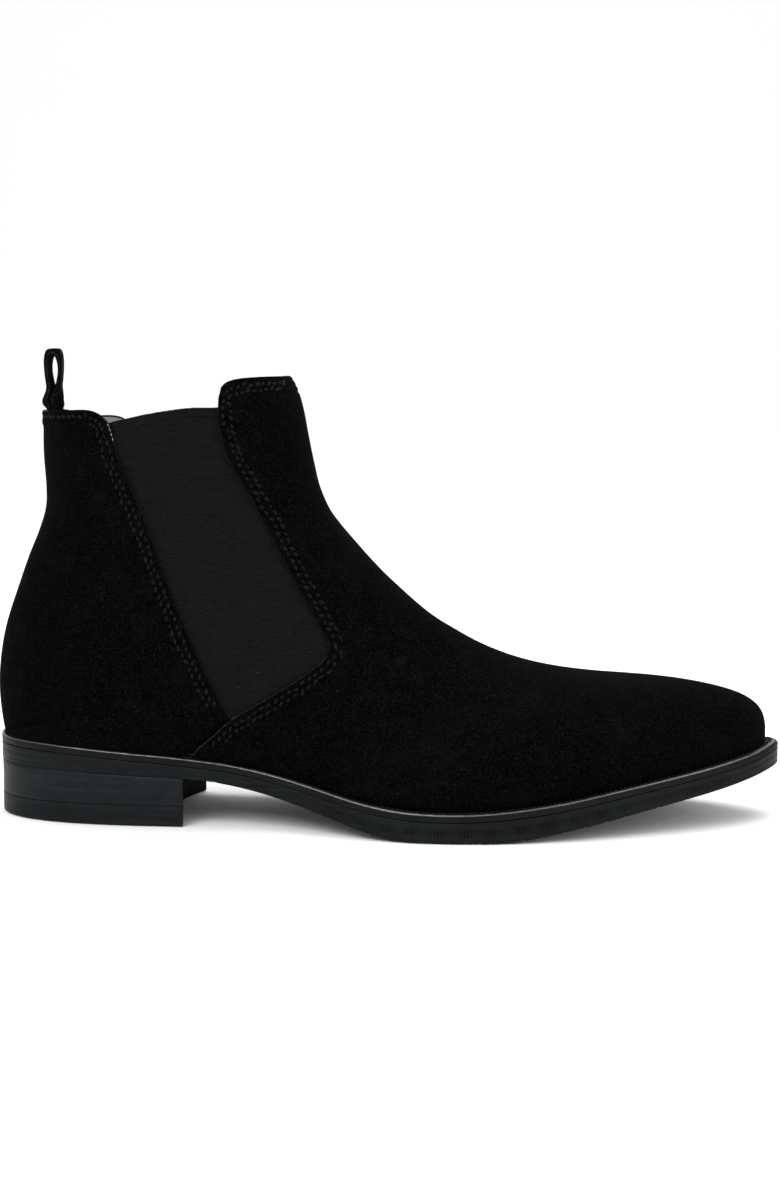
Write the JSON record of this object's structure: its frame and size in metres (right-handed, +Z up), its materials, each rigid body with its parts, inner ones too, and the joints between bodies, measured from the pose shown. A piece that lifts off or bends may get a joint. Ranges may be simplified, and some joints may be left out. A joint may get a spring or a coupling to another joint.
{
  "type": "chelsea boot",
  "caption": "Suede ankle boot for the right foot with elastic side gores, a pull tab, a flat stacked heel and a flexing welted sole.",
  "frame": {"origin": "centre of the heel's tread, on the ground", "axes": "+X towards the toe, +Y towards the inner (medial) side of the right foot, +Z up"},
  "size_m": [0.3115, 0.1051, 0.184],
  "materials": {
    "suede": "napped suede, matt",
    "gore_elastic": "ribbed elastic webbing, matt",
    "lining_leather": "smooth lining leather",
    "sock_leather": "smooth, lightly worn",
    "stiffener": "thermoplastic board",
    "strap": "folded suede strap",
    "thread": "bonded polyester thread",
    "insole_board": "leather board",
    "pad_foam": "latex foam",
    "steel": "spring steel",
    "brass": "brassed steel",
    "filler": "cork",
    "welt": "edge-inked, waxed",
    "outsole": "edge-inked, satin",
    "heel": "inked stacked heel, brushed and waxed",
    "top_lift": "satin rubber"
  },
  "bodies": {
    "boot": {"vamp": "suede", "quarter": "suede", "gore_lateral": "gore_elastic", "gore_medial": "gore_elastic", "vamp_lining": "lining_leather", "quarter_lining": "lining_leather", "heel_counter": "stiffener", "pull_tab_ends": "strap", "vamp_stitching": "thread", "quarter_stitching": "thread", "welt_stitching_waist": "thread", "insole_board_waist": "insole_board", "sock_waist": "sock_leather", "heel_pad": "pad_foam", "shank": "steel", "shank_rivets": "brass", "filler_waist": "filler", "welt_waist": "welt", "outsole_waist": "outsole", "heel_block": "heel", "top_lift": "top_lift", "heel_nails": "steel", "heel_screw": "steel"},
    "forepart": {"welt_stitching_forepart": "thread", "insole_board_forepart": "insole_board", "sock_forepart": "sock_leather", "filler_forepart": "filler", "welt_forepart": "welt", "outsole_forepart": "outsole", "toe_puff": "stiffener"},
    "shaft_front": {"front_flap": "suede", "flap_lining": "lining_leather", "flap_stitching": "thread"},
    "pull_loop": {"pull_tab": "strap"}
  },
  "joints": [
    {"name": "toe_flex", "type": "hinge", "parent": "boot", "child": "forepart", "pos_m": [0.176, 0, 0.0168], "axis": [0, -1, 0], "range_deg": [0, 30], "stiffness_Nm_per_rad": 3, "deforming": ["vamp", "vamp_lining"]},
    {"name": "shaft_open", "type": "hinge", "parent": "boot", "child": "shaft_front", "pos_m": [0.094, 0, 0.1215], "axis": [0, 1, 0], "range_deg": [0, 14], "stiffness_Nm_per_rad": 1.5, "deforming": ["gore_lateral", "gore_medial"]},
    {"name": "pull_tab_fold", "type": "hinge", "parent": "boot", "child": "pull_loop", "pos_m": [-0.0174, 0, 0.1623], "axis": [0, 1, 0], "range_deg": [-95, 60], "stiffness_Nm_per_rad": 0.01}
  ]
}
